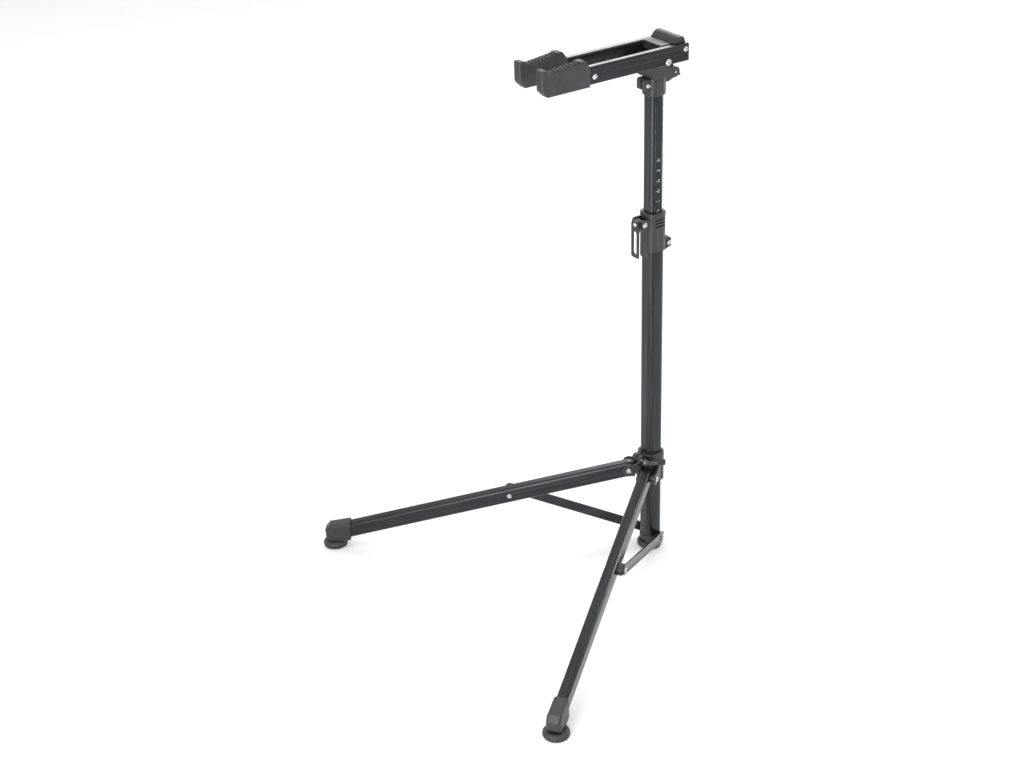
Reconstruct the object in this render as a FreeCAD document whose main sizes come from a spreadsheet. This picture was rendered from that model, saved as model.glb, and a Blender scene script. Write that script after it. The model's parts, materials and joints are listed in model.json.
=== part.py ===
import FreeCAD, Part
import math
import os
import Sketcher
from FreeCAD import Placement, Rotation, Vector

# Folding bicycle work stand, in millimetres.
# Origin: centre of the column foot's flat bottom. +Z is up along the column, and the
# arms and the two legs point to -Y.

DIMENSIONS = [
    # column and post
    ("columnwidth", 43.4), ("columncorner", 12.5), ("columntop", 900.0), ("columnbase", 15.0),
    ("postwidth", 38.0), ("postcorner", 11.5), ("tubewall", 2.0),
    ("posttop", 1238.0), ("postbottom", 600.0),
    # column foot and its bracket
    ("footradius", 33.5), ("footflat", 26.9), ("bracketwall", 1.5), ("brackettop", 35.0),
    # height clamp
    ("clampwidth", 51.4), ("clampbottom", 821.0), ("clampshoulder", 908.0), ("clamptop", 920.0),
    ("leverpiny", -38.0), ("leverpinz", 897.0), ("leverwidth", 25.0), ("leverslot", 15.0),
    ("earinner", 14.0), ("earthick", 5.0), ("clampboltz", 832.0),
    # head and arms
    ("headhalf", 30.4), ("pivotz", 1290.0), ("pivotradius", 4.0), ("neckhalf", 24.0),
    ("armouter", 50.5), ("arminner", 32.25), ("armbottom", 1281.5), ("armtop", 1322.8),
    ("armrear", 57.0), ("armfront", -330.0), ("armcorner", 4.5), ("armwall", 1.8),
    ("padinner", 29.2), ("padouter", 54.2), ("padrear", -218.5), ("padfront", -347.0),
    ("padbottom", 1278.4), ("padvalley", 1328.4), ("padtip", 1339.6), ("padhump", 1341.2),
    ("armboltrear", 49.4), ("armboltrearz", 1310.5),
    ("armboltfront", -204.0), ("armboltfrontz", 1299.0), ("jigholez", 1307.5),
    # leg collar
    ("collarwidth", 57.0), ("collarbottom", 198.0), ("collartop", 277.0), ("linerwall", 2.0),
    ("runfit", 0.1),
    # legs
    ("legangle", 36.87), ("legslope", 14.0), ("legpivotr", 54.0), ("legpivotz", 225.0),
    ("legwidth", 28.0), ("legheight", 41.0), ("legcorner", 8.0), ("footreach", 811.0),
    ("earflank", 14.4), ("outerear", 24.0), ("legear", 5.0), ("legearradius", 16.0),
    ("skewery", -37.0), ("skewerz", 264.5), ("camx", 24.0), ("leversplay", 30.0),
    # struts
    ("strutinner", 27.4), ("strutthick", 5.0), ("strutdepth", 25.0),
    ("strutboltr", 357.0), ("strutbaser", -5.0), ("strutbasez", 22.6),
    # fasteners
    ("boltfive", 2.5), ("boltsix", 3.0), ("bolteight", 4.0), ("clearance", 0.05),
    # head's socket and bridge, arm latch and pinch bolt
    ("headbottom", 1203.0), ("bridgebottom", 1248.0),
    ("latchpiny", 50.0), ("latchpinz", 1248.5), ("pinchy", -29.0), ("pinchz", 1232.0),
]

doc = FreeCAD.newDocument("work_stand")
sheet = doc.addObject("Spreadsheet::Sheet", "dims")


class Size:
    """A length from the sheet: its value now, and the expression that gives it."""

    def __init__(self, value, text=None):
        self.value = float(value)
        self.text = text if text is not None else repr(float(value))

    def __add__(self, other):
        other = size(other)
        return Size(self.value + other.value, f"({self.text} + {other.text})")

    def __sub__(self, other):
        other = size(other)
        return Size(self.value - other.value, f"({self.text} - {other.text})")

    def __mul__(self, factor):
        return Size(self.value * factor, f"({self.text} * {factor!r})")

    def __truediv__(self, factor):
        return self * (1.0 / factor)

    def __neg__(self):
        return self * -1.0

    def __radd__(self, other):
        return size(other) + self

    def __rsub__(self, other):
        return size(other) - self

    __rmul__ = __mul__


def size(value):
    return value if isinstance(value, Size) else Size(value)


class Dims:
    """The sheet's cells by name: d.postwidth is a Size."""


d = Dims()
for row, (alias, value) in enumerate(DIMENSIONS, start=1):
    sheet.set(f"A{row}", alias)
    sheet.set(f"B{row}", str(value))
    sheet.setAlias(f"B{row}", alias)
    setattr(d, alias, Size(value, f"dims.{alias}"))
doc.recompute()

nodes = []
AXIS = {"X": Vector(1, 0, 0), "Y": Vector(0, 1, 0), "Z": Vector(0, 0, 1)}
PLANE_AXIS = {"XY": "Z", "XZ": "Y", "YZ": "X"}


def bind(item, path, value):
    """Ties one property of an object to the sheet."""
    item.setExpression(path, size(value).text)


def place(item, at, turn):
    """Puts an object at a point worked out from the sheet."""
    item.Placement = Placement(Vector(*[size(c).value for c in at]), turn)
    for letter, value in zip("xyz", at):
        bind(item, f"Placement.Base.{letter}", value)


def new_body(label, at=(0, 0, 0), turn=Rotation(), node=True):
    body = doc.addObject("PartDesign::Body", label)
    body.Label = label
    place(body, at, turn)
    if node:
        nodes.append(body)
    return body


def draw(body, plane, height, outlines, plan=0.0):
    """A sketch on one of the body's own planes, moved along that plane's axis.

    plan turns an XZ sketch about the upright axis, so that it faces along a leg."""
    sketch = body.newObject("Sketcher::SketchObject", f"{body.Name}_sketch")
    origin = [f for f in body.Origin.OriginFeatures if f.Role == f"{plane}_Plane"][0]
    sketch.AttachmentSupport = [(origin, "")]
    sketch.MapMode = "FlatFace"
    shift = -height if plane == "XZ" else height
    turn = Rotation(AXIS["Y"], plan)
    sketch.AttachmentOffset = Placement(turn.multVec(Vector(0, 0, size(shift).value)), turn)
    bind(sketch, "AttachmentOffset.Base.x", size(shift) * round(math.sin(math.radians(plan)), 6))
    bind(sketch, "AttachmentOffset.Base.z", size(shift) * round(math.cos(math.radians(plan)), 6))
    for outline in outlines:
        outline(sketch)
    return sketch


def hold(sketch, kind, *where, value):
    """A constraint whose value comes from the sheet."""
    index = sketch.addConstraint(Sketcher.Constraint(kind, *where, size(value).value))
    bind(sketch, f"Constraints[{index}]", value)


def outline_of(points):
    """A closed outline with a corner at each point."""
    def add(sketch):
        first = sketch.GeometryCount
        corners = [Vector(size(u).value, size(v).value, 0) for u, v in points]
        count = len(corners)
        for k in range(count):
            sketch.addGeometry(Part.LineSegment(corners[k], corners[(k + 1) % count]))
        for k in range(count):
            after = first + (k + 1) % count
            sketch.addConstraint(Sketcher.Constraint("Coincident", first + k, 2, after, 1))
        for k, (u, v) in enumerate(points):
            hold(sketch, "DistanceX", -1, 1, first + k, 1, value=u)
            hold(sketch, "DistanceY", -1, 1, first + k, 1, value=v)
    return add


def rectangle(low_u, high_u, low_v, high_v):
    return outline_of([(low_u, low_v), (high_u, low_v), (high_u, high_v), (low_u, high_v)])


def circle(u, v, radius):
    def add(sketch):
        centre = Vector(size(u).value, size(v).value, 0)
        index = sketch.addGeometry(Part.Circle(centre, AXIS["Z"], size(radius).value))
        hold(sketch, "Radius", index, value=radius)
        hold(sketch, "DistanceX", -1, 1, index, 3, value=u)
        hold(sketch, "DistanceY", -1, 1, index, 3, value=v)
    return add


def rounded(low_u, high_u, low_v, high_v, radius):
    """A rectangle with four equal round corners."""
    def add(sketch):
        first = sketch.GeometryCount
        r = size(radius).value
        u0, u1, v0, v1 = (size(c).value for c in (low_u, high_u, low_v, high_v))
        lines = [((u0 + r, v0), (u1 - r, v0)), ((u1, v0 + r), (u1, v1 - r)),
                 ((u1 - r, v1), (u0 + r, v1)), ((u0, v1 - r), (u0, v0 + r))]
        centres = [(u1 - r, v0 + r), (u1 - r, v1 - r), (u0 + r, v1 - r), (u0 + r, v0 + r)]
        for k in range(4):
            start, end = lines[k]
            sketch.addGeometry(Part.LineSegment(Vector(*start, 0), Vector(*end, 0)))
            corner = Part.Circle(Vector(*centres[k], 0), AXIS["Z"], r)
            angle = math.radians(-90 + 90 * k)
            sketch.addGeometry(Part.ArcOfCircle(corner, angle, angle + math.pi / 2))
        for k in range(4):
            line, arc = first + 2 * k, first + 2 * k + 1
            after = first + (2 * k + 2) % 8
            sketch.addConstraint(Sketcher.Constraint("Tangent", line, 2, arc, 1))
            sketch.addConstraint(Sketcher.Constraint("Tangent", arc, 2, after, 1))
            way = "Horizontal" if k % 2 == 0 else "Vertical"
            sketch.addConstraint(Sketcher.Constraint(way, line))
            if k > 0:
                sketch.addConstraint(Sketcher.Constraint("Equal", first + 1, arc))
        hold(sketch, "Radius", first + 1, value=radius)
        hold(sketch, "DistanceY", -1, 1, first, 1, value=low_v)
        hold(sketch, "DistanceX", -1, 1, first + 2, 1, value=high_u)
        hold(sketch, "DistanceY", -1, 1, first + 4, 1, value=high_v)
        hold(sketch, "DistanceX", -1, 1, first + 6, 1, value=low_u)
    return add


def squared(width, radius):
    """The tubes' own section: a square with round corners, centred on the column."""
    half = width / 2
    return rounded(-half, half, -half, half, radius)


def grow(body, plane, low, high, *outlines, plan=0.0):
    """Adds material between two heights along the plane's axis."""
    start = high if plane == "XZ" else low
    pad = body.newObject("PartDesign::Pad", f"{body.Name}_pad")
    pad.Profile = draw(body, plane, start, outlines, plan)
    bind(pad, "Length", high - low)
    doc.recompute()
    return pad


def cut(body, plane, low, high, *outlines, plan=0.0):
    """Takes material away between two heights along the plane's axis."""
    before = body.Shape.Volume
    start = high if plane == "XZ" else low
    pocket = body.newObject("PartDesign::Pocket", f"{body.Name}_pocket")
    pocket.Profile = draw(body, plane, start, outlines, plan)
    pocket.Reversed = True
    bind(pocket, "Length", high - low)
    doc.recompute()
    assert body.Shape.Volume < before - 1e-3, f"{body.Label}: a pocket cut nothing"
    return pocket


def turned(body, points):
    """A solid turned about the body's Z axis, from (radius, height) points."""
    turn = body.newObject("PartDesign::Revolution", f"{body.Name}_turned")
    sketch = draw(body, "XZ", 0, [outline_of(points)])
    turn.Profile = sketch
    turn.ReferenceAxis = (sketch, ["V_Axis"])
    turn.Angle = 360
    doc.recompute()
    return turn


def soften(body, radius, picks, kind="Fillet"):
    """Rounds or bevels the edges that the test picks out."""
    base = body.Tip
    names = [f"Edge{k}" for k, edge in enumerate(base.Shape.Edges, start=1) if picks(edge)]
    assert names, f"{body.Label}: no edge to {kind}"
    feature = body.newObject(f"PartDesign::{kind}", f"{body.Name}_{kind}")
    feature.Base = (base, names)
    bind(feature, "Radius" if kind == "Fillet" else "Size", radius)
    doc.recompute()
    assert feature.Shape.isValid(), f"{body.Label}: {kind} failed"
    return feature


def middle(edge):
    return edge.CenterOfMass


def along(edge, axis):
    """True for a straight edge parallel to the axis."""
    if not isinstance(edge.Curve, Part.Line):
        return False
    return abs(abs(edge.Curve.Direction.dot(AXIS[axis])) - 1) < 1e-6


def level(edge, axis, height):
    """True for an edge that lies wholly at one height along the axis."""
    value = size(height).value
    return all(abs(v.Point.dot(AXIS[axis]) - value) < 1e-4 for v in edge.Vertexes)


def group(label, members):
    """Several equal pieces kept as one node of separate solids."""
    compound = doc.addObject("Part::Compound", label)
    compound.Label = label
    compound.Links = members
    nodes.append(compound)
    return compound


# Which way each side lies along X, and where the bottom bracket's screws sit along Y.
SIDES = {"left": -1, "right": 1}
SCREW_Y = 6

# Turns that carry a piece's own +Z to another direction.
TO_X = Rotation(AXIS["Y"], 90)
TO_MINUS_X = Rotation(AXIS["Y"], -90)
TO_MINUS_Y = Rotation(AXIS["X"], 90)
TO_Y = Rotation(AXIS["X"], -90)


def bolt(label, at, turn, length, radius, head_radius, head_height, node=True):
    """A button-head bolt. Its shank runs to -Z from the underside of the head."""
    body = new_body(label, at, turn, node)
    rim = head_height * 0.35
    turned(body, [(0, -length), (radius, -length), (radius, 0), (head_radius, 0),
                  (head_radius, rim), (head_radius * 0.62, head_height), (0, head_height)])
    socket = size(head_radius) * 0.42
    cut(body, "XY", head_height * 0.35, head_height + 1, hexagon(socket))
    return body


def hexagon(radius):
    corners = [(size(radius) * round(math.cos(math.radians(60 * k)), 6),
                size(radius) * round(math.sin(math.radians(60 * k)), 6)) for k in range(6)]
    return outline_of(corners)


def nut(label, at, turn, radius, across, height, node=True):
    """A hexagon nut whose seat is at its own Z = 0."""
    body = new_body(label, at, turn, node)
    grow(body, "XY", size(0), size(height), hexagon(across), circle(0, 0, radius))
    return body


def washer(label, at, turn, inner, outer, thick, node=True):
    body = new_body(label, at, turn, node)
    grow(body, "XY", size(0), size(thick), circle(0, 0, outer), circle(0, 0, inner))
    return body


# ---------------------------------------------------------------- column and its foot

def make_column_tube():
    body = new_body("column_tube")
    inner = d.columnwidth - d.tubewall * 2
    grow(body, "XY", d.columnbase, d.columntop, squared(d.columnwidth, d.columncorner),
         squared(inner, d.columncorner - d.tubewall))
    # window for the brake shoe, open at the top of the tube
    cut(body, "XZ", -d.columnwidth, size(-5), rectangle(-11, 11, d.columntop - 22, d.columntop + 5))


def foot_flats(body, low, high):
    """Cuts the two flats that the struts swing past."""
    beyond, along_leg = 30, 60
    for side in SIDES.values():
        corners = [leg_point(side, reach, d.footflat + off, 0)[:2] for reach, off in (
            (-along_leg, 0), (-along_leg, beyond), (along_leg, beyond), (along_leg, 0))]
        cut(body, "XY", low, high, outline_of(corners))


def make_column_foot():
    body = new_body("column_foot")
    top = d.columnbase
    turned(body, [(0, 0), (d.footradius - 3.5, 0), (d.footradius - 1, 2.5), (d.footradius, 6),
                  (d.footradius - 0.6, 9.5), (d.footradius - 2.6, 12.8), (d.footradius - 5.5, top),
                  (0, top)])
    foot_flats(body, size(-1), top + 1)


def make_bottom_bracket():
    """Sleeve round the column's lower end with a flat seat for each strut."""
    body = new_body("bottom_bracket")
    outer = d.columnwidth + d.bracketwall * 2
    grow(body, "XY", d.columnbase, d.brackettop, squared(outer, d.columncorner + d.bracketwall))
    soften(body, size(0.7), lambda e: level(e, "Z", d.brackettop), "Chamfer")
    for side in SIDES.values():
        low, high = across(side, 18, d.strutinner - 0.4)
        grow(body, "XZ", low, high, circle(d.strutbaser, d.strutbasez, 7.2), plan=leg_plan(side))
    cut(body, "XY", d.columnbase - 1, d.brackettop + 1,
        squared(d.columnwidth + 0.02, d.columncorner + 0.01))
    cut(body, "YZ", size(-30), size(30), circle(SCREW_Y, d.brackettop - 10, d.boltfive))


def make_bracket_screws():
    reach = d.columnwidth / 2 + d.bracketwall
    screws = [bolt(f"bracket_screw_{name}", (reach * side, SCREW_Y, d.brackettop - 10),
                   TO_X if side > 0 else TO_MINUS_X, 1.2, d.boltfive, 4.2, 2.4, node=False)
              for name, side in SIDES.items()]
    return group("bracket_screws", screws)


# ---------------------------------------------------------------- height clamp

# Radius of the lever's hub, and how far behind the clamp its rear bolt sits.
LEVER_HUB = 8.6
CLAMP_BOLT_Y = 13.6


def make_clamp_body():
    body = new_body("clamp_body")
    half = d.clampwidth / 2
    grow(body, "XY", d.clampbottom, d.clampshoulder, squared(d.clampwidth, d.columncorner + 4))
    soften(body, size(2.2), lambda e: level(e, "Z", d.clampbottom), "Chamfer")
    grow(body, "XY", d.clampshoulder, d.clamptop, squared(d.clampwidth + 1.6, d.columncorner + 4.8))
    soften(body, size(3.5), lambda e: level(e, "Z", d.clamptop))
    # tongue below the lever
    grow(body, "XZ", -half, size(-19), rounded(-15, 15, d.clampbottom - 15, d.clampbottom + 20, 5))
    # ears for the lever's pin
    for side in SIDES.values():
        low = d.earinner * side if side > 0 else -d.earinner - d.earthick
        grow(body, "YZ", low, low + d.earthick,
             rounded(d.leverpiny - 9.5, -half + 6, d.leverpinz - 12, d.leverpinz + 11, 9))
    # rear boss for the bolt that holds the clamp to the column
    boss = 13
    grow(body, "YZ", size(-boss), size(boss), outline_of(
        [(half - 4, d.clampboltz - 17), (half + 5, d.clampboltz - 14),
         (half + 20, d.clampboltz - 9), (half + 20, d.clampboltz + 10),
         (half + 16, d.clampboltz + 14), (half - 4, d.clampboltz + 18)]))
    soften(body, size(2.0), lambda e: along(e, "X") and middle(e).y > half.value + 5)
    # space for the column, and above it the smaller space for the post
    cut(body, "XY", d.clampbottom - 20, d.columntop + 4,
        squared(d.columnwidth + 0.02, d.columncorner + 0.01))
    cut(body, "XY", d.columntop + 3, d.clamptop + 1, squared(d.postwidth + 0.8, d.postcorner + 0.4))
    # window for the brake shoe
    cut(body, "XZ", -half - 2, size(-19), rectangle(-11, 11, d.columntop - 16, d.columntop - 1))
    # clamping slit, bolt hole and the holes for the lever's pin
    through = size(30)
    cut(body, "YZ", -through, through,
        circle(half + CLAMP_BOLT_Y, d.clampboltz, d.boltsix + d.clearance))
    cut(body, "XY", d.clampbottom - 20, d.columntop - 40, rectangle(-1.5, 1.5, half - 6, half + 30))
    cut(body, "YZ", -through, through, circle(d.leverpiny, d.leverpinz, d.boltsix + d.clearance))
    # three grip grooves on each side, run out round the rear corners
    groove_depth, groove_pitch, groove_half = 2.8, 8.2, 2.0
    for side in SIDES.values():
        low = half - groove_depth if side > 0 else -half - 1
        for step in range(3):
            z = d.clampshoulder - 4.8 - groove_pitch * step
            cut(body, "YZ", low, low + groove_depth + 1,
                rounded(-12, half + 3, z - groove_half, z + groove_half, 1.8))


def make_clamp_bushing():
    body = new_body("clamp_bushing")
    inner = d.postwidth + d.clearance * 4
    inner_corner = d.postcorner + d.clearance * 2
    sleeve = d.columnwidth - d.tubewall * 2
    grow(body, "XY", d.columntop - 70, d.columntop,
         squared(sleeve, d.columncorner - d.tubewall), squared(inner, inner_corner))
    grow(body, "XY", d.columntop, d.columntop + 2.8,
         squared(d.columnwidth - 0.4, d.columncorner - 0.2), squared(inner, inner_corner))
    cut(body, "XZ", -d.columnwidth, size(-5), rectangle(-11, 11, d.columntop - 22, d.columntop - 2))


def make_brake_shoe():
    """Presses on the post through the windows in the clamp, the column and the bushing."""
    body = new_body("brake_shoe")
    front = -d.postwidth / 2 - 0.3
    back = d.leverpiny + LEVER_HUB + 0.3
    grow(body, "XZ", back, front, rectangle(-10.5, 10.5, d.columntop - 15.5, d.columntop - 2.5))
    soften(body, size(1.2), lambda e: level(e, "Y", back))


def make_clamp_lever():
    body = new_body("clamp_lever")
    half = d.leverwidth / 2
    hub_y, hub_z = d.leverpiny, d.leverpinz
    face, foot = hub_y - 16.4, hub_z - 86
    grow(body, "YZ", -half, half, outline_of(
        [(hub_y - 5, hub_z - 7.5), (hub_y - 9, hub_z - 12), (hub_y - 11.4, hub_z - 20),
         (hub_y - 11.8, foot + 7), (hub_y - 10, foot + 2), (hub_y - 13.4, foot),
         (face, foot + 5), (face, hub_z + 3), (face + 2.4, hub_z + 8), (hub_y - 9.5, hub_z + 9),
         (hub_y - 5, hub_z + 7)]))
    soften(body, size(1.6), lambda e: along(e, "X") and middle(e).y < hub_y.value - 7.5)
    # round corners at the top and at the finger end
    corner = half - 5.5
    for side in SIDES.values():
        for height, way in ((foot - 0.5, 1), (hub_z + 9.5, -1)):
            cut(body, "XZ", face - 3, hub_y - 8, outline_of(
                [(corner * side, height), ((half + 1) * side, height),
                 ((half + 1) * side, height + 7.2 * way), (half * side, height + 7.2 * way),
                 ((half - 1.8) * side, height + 3.2 * way)]))
    grow(body, "YZ", -half - 0.6, half + 0.6, circle(hub_y, hub_z, LEVER_HUB))
    slot = d.leverslot / 2
    cut(body, "XZ", hub_y - 30, hub_y - 9, rounded(-slot, slot, foot + 11, hub_z - 17, 6))
    cut(body, "YZ", size(-40), size(40), circle(hub_y, hub_z, d.boltsix + d.clearance))
    # seat and hole for the adjusting screw
    cut(body, "XZ", hub_y - 30, hub_y - 15, circle(0, hub_z, 6.2))
    cut(body, "XZ", hub_y - 30, hub_y - 10, circle(0, hub_z, d.boltsix + d.clearance))


# ---------------------------------------------------------------- post and head

def make_post_tube():
    body = new_body("post_tube")
    inner = d.postwidth - d.tubewall * 2
    grow(body, "XY", d.postbottom, d.posttop, squared(d.postwidth, d.postcorner),
         squared(inner, d.postcorner - d.tubewall))
    # shallow flats along the four sides, as drawn aluminium tube has
    half = d.postwidth / 2
    flat = half - d.postcorner + 2
    for near, far in ((half - 0.35, half + 1), (-half - 1, -half + 0.35)):
        cut(body, "XY", d.postbottom - 1, d.posttop + 1, rectangle(near, far, -flat, flat))
        cut(body, "XY", d.postbottom - 1, d.posttop + 1, rectangle(-flat, flat, near, far))


def make_post_glide():
    body = new_body("post_glide")
    bore = d.columnwidth - d.tubewall * 2 - d.clearance * 4
    grow(body, "XY", d.postbottom - 12, d.postbottom, squared(bore, d.columncorner - d.tubewall - 0.1))
    inner = d.postwidth - d.tubewall * 2 - 0.02
    grow(body, "XY", d.postbottom, d.postbottom + 40, squared(inner, d.postcorner - d.tubewall))
    cut(body, "XY", d.postbottom - 20, d.postbottom + 50, circle(0, 0, 11))


def make_head_casting():
    body = new_body("head_casting")
    neck = d.neckhalf
    low, bridge = d.headbottom, d.bridgebottom
    # neck that takes the post
    grow(body, "XY", low, bridge + 14, squared(neck * 2, d.postcorner + 5))
    soften(body, size(3.0), lambda e: level(e, "Z", low), "Chamfer")
    # bridge and the eye of the arms' pivot
    wide, shoulder, chamfer = d.headhalf, 24, 10
    grow(body, "YZ", -wide, wide, outline_of(
        [(-shoulder, bridge), (shoulder, bridge), (shoulder, bridge + 24),
         (shoulder - chamfer, bridge + 34), (chamfer - shoulder, bridge + 34),
         (-shoulder, bridge + 24)]))
    grow(body, "YZ", -wide, wide, circle(0, d.pivotz, 13))
    # tail that carries the arm latch
    tail = 15
    grow(body, "YZ", size(-tail), size(tail), outline_of(
        [(10, low + 29), (30, low + 27), (46, low + 33.5), (46, bridge + 13),
         (24, bridge + 18), (10, bridge + 18)]))
    grow(body, "YZ", size(-tail), size(tail), circle(d.latchpiny, d.latchpinz, 12.4))
    # lugs of the pinch bolt, either side of the slit
    slit, lug = 3, 13
    for inner in (slit, -slit - lug):
        grow(body, "YZ", size(inner), size(inner + lug),
             rounded(-37, -16, d.pinchz - 13, d.pinchz + 14, 5))
    # socket, slit, latch slot and holes
    cut(body, "XY", low - 3, d.posttop + 0.1, squared(d.postwidth + 0.02, d.postcorner + 0.01))
    cut(body, "XY", low - 3, bridge + 2, rectangle(-slit / 2, slit / 2, -40, -15))
    cut(body, "YZ", size(-5), size(5), rectangle(28, 70, low + 22, bridge + 27))
    for y, z, radius in ((0, d.pivotz, d.pivotradius), (d.pinchy, d.pinchz, d.boltsix),
                         (d.latchpiny, d.latchpinz, d.boltfive)):
        cut(body, "YZ", size(-40), size(40), circle(y, z, radius + d.clearance))


def make_arm_latch():
    """The thumb latch in the tail's slot: its nose comes up under the rear block."""
    body = new_body("arm_latch")
    grow(body, "YZ", size(-4.6), size(4.6), outline_of(
        [(36, 1244), (54, 1237), (72, 1234), (74, 1238), (60, 1246), (52, 1262), (49, 1281),
         (38, 1282.6), (36, 1278), (42, 1262)]))
    soften(body, size(1.5), lambda e: along(e, "X"))
    cut(body, "YZ", size(-10), size(10), circle(d.latchpiny, d.latchpinz, d.boltfive + d.clearance))


# ---------------------------------------------------------------- arms

def make_arm(side):
    body = new_body("arm_left" if side < 0 else "arm_right")
    low = d.arminner if side > 0 else -d.armouter
    high = d.armouter if side > 0 else -d.arminner
    wall = d.armwall
    grow(body, "XZ", d.armfront, d.armrear,
         rounded(low, high, d.armbottom, d.armtop, d.armcorner),
         rounded(low + wall, high - wall, d.armbottom + wall, d.armtop - wall, d.armcorner - wall))
    for y, z, radius in ((0, d.pivotz, d.pivotradius), (d.armboltrear, d.armboltrearz, d.boltsix),
                         (d.armboltfront, d.armboltfrontz, d.boltsix)):
        cut(body, "YZ", size(-70), size(70), circle(y, z, radius + d.clearance))
    # two small jig holes in the outer wall
    wall_low = d.armouter - 3 if side > 0 else -d.armouter - 1
    for y in (-20.7, -183.6):
        cut(body, "YZ", wall_low, wall_low + 4, circle(y, d.jigholez, 1.6))


def make_arm_pad(side):
    """Rubber boot on the arm's end: raised tip, ribbed cradle, and a hump behind it."""
    body = new_body("arm_pad_left" if side < 0 else "arm_pad_right")
    low = d.padinner if side > 0 else -d.padouter
    high = d.padouter if side > 0 else -d.padinner
    front, rear = d.padfront, d.padrear
    valley = d.padvalley
    grow(body, "YZ", low, high, outline_of(
        [(front + 15, d.padbottom), (rear, d.padbottom), (rear, d.armtop + 3.0),
         (rear - 4, d.armtop + 7), (rear - 8, d.padhump - 6), (rear - 13.5, d.padhump),
         (rear - 22, d.padhump), (rear - 29, d.padhump - 2.2), (rear - 36, d.padhump - 5.2),
         (rear - 99, valley + 0.4), (rear - 104, valley + 0.8), (rear - 110, d.padtip - 2.4),
         (rear - 114, d.padtip), (front + 3, d.padtip), (front, d.padtip - 3),
         (front, d.padbottom + 13)]))
    soften(body, size(2.2), lambda e: along(e, "Y") and middle(e).z > valley.value - 1)
    # shallow grooves between the cradle's ribs
    groove_count, groove_pitch, climb = 8, 7.6, 0.88
    for step in range(groove_count):
        y = rear - 41 - groove_pitch * step
        z = d.padhump - 4.2 - climb * step
        cut(body, "YZ", low - 1, high + 1, circle(y, z, 2.4))
    # the space that the arm fills
    arm_low = d.arminner if side > 0 else -d.armouter
    arm_high = d.armouter if side > 0 else -d.arminner
    cut(body, "XZ", d.armfront - 0.02, rear + 5,
        rounded(arm_low - 0.02, arm_high + 0.02, d.armbottom - 0.02, d.armtop + 0.02, d.armcorner))


def make_rear_block():
    """Plastic spacer between the arms, reaching over the pivot, with a raised lip."""
    body = new_body("rear_block")
    half = d.arminner - 0.05
    back, top = d.armrear - 2, d.armtop + 1
    shelf = d.pivotz + 15.5
    grow(body, "YZ", -half, half, outline_of(
        [(-7, shelf + 1), (-6, shelf), (15, shelf), (17, d.pivotz - 4), (back, d.pivotz - 4),
         (back, top), (-6, top), (-7, top - 1)]))
    lip = d.armouter - 8
    grow(body, "YZ", -lip, lip, outline_of(
        [(24, d.armtop + 0.1), (55, d.armtop + 0.1), (55, top + 3), (51.5, top + 11),
         (48, top + 14), (38, top + 14), (33, top + 11), (24, top + 1.5)]))
    soften(body, size(2.0), lambda e: not along(e, "X") and middle(e).z > top.value + 0.5)
    cut(body, "YZ", size(-60), size(60),
        circle(d.armboltrear, d.armboltrearz, d.boltsix + d.clearance))


def make_arm_caps():
    caps = []
    for name, side in SIDES.items():
        cap = new_body(f"arm_cap_{name}", node=False)
        low = d.arminner if side > 0 else -d.armouter
        high = d.armouter if side > 0 else -d.arminner
        wall = d.armwall
        grow(cap, "XZ", d.armrear, d.armrear + 2.5,
             rounded(low, high, d.armbottom, d.armtop, d.armcorner))
        soften(cap, size(1.2), lambda e: level(e, "Y", d.armrear + 2.5))
        grow(cap, "XZ", d.armrear - 3, d.armrear,
             rounded(low + wall, high - wall, d.armbottom + wall, d.armtop - wall,
                     d.armcorner - wall))
        caps.append(cap)
    return group("arm_caps", caps)


# ---------------------------------------------------------------- legs, in their own frames

# How far the leg tube stops short of the foot pad's middle.
TUBE_SHORT = 25


def leg_plan(side):
    """The leg's direction seen from above: side 1 is the right leg, -1 the left one."""
    return d.legangle.value * side - 90


def leg_turn(side, slope=0.0):
    """Carries +X to the leg's direction."""
    return Rotation(AXIS["Z"], leg_plan(side)).multiply(Rotation(AXIS["Y"], slope))


def leg_point(side, reach, off, z):
    """A point at a reach along the leg's plan direction and an offset to its outer side."""
    angle = math.radians(d.legangle.value)
    sine, cosine = round(math.sin(angle), 6), round(math.cos(angle), 6)
    x = size(reach) * (sine * side) + size(off) * (cosine * side)
    y = size(reach) * -cosine + size(off) * sine
    return (x, y, size(z))


def across(side, low, high):
    """A range of outward offsets as a range along the leg frame's own Y."""
    if side > 0:
        return size(low), size(high)
    return -size(high), -size(low)


def leg_length():
    """From the leg's pivot to above the middle of its foot pad."""
    run = d.footreach.value - d.legpivotr.value
    return run / math.cos(math.radians(d.legslope.value))


def make_leg_tube(name, side):
    body = new_body(f"leg_tube_{name}", leg_point(side, d.legpivotr, 0, d.legpivotz),
                    leg_turn(side, d.legslope.value))
    half_w, half_h = d.legwidth / 2, d.legheight / 2
    length = leg_length() - TUBE_SHORT
    grow(body, "XZ", -half_w, half_w, rectangle(0, length, -half_h, half_h))
    grow(body, "XZ", -half_w, half_w, circle(0, 0, half_h))
    soften(body, d.legcorner, lambda e: abs(abs(middle(e).y) - half_w.value) < 1e-3
           and not level(e, "X", length) and abs(e.BoundBox.YLength) < 1e-3)
    wall = d.tubewall
    cut(body, "YZ", size(28), size(length + 1),
        rounded(-half_w + wall, half_w - wall, -half_h + wall, half_h - wall, d.legcorner - wall))
    cut(body, "XZ", size(-30), size(30), circle(0, 0, d.bolteight + d.clearance))
    cut(body, "XZ", size(-30), size(30), circle(strut_reach(), 0, d.boltsix + d.clearance))


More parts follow.
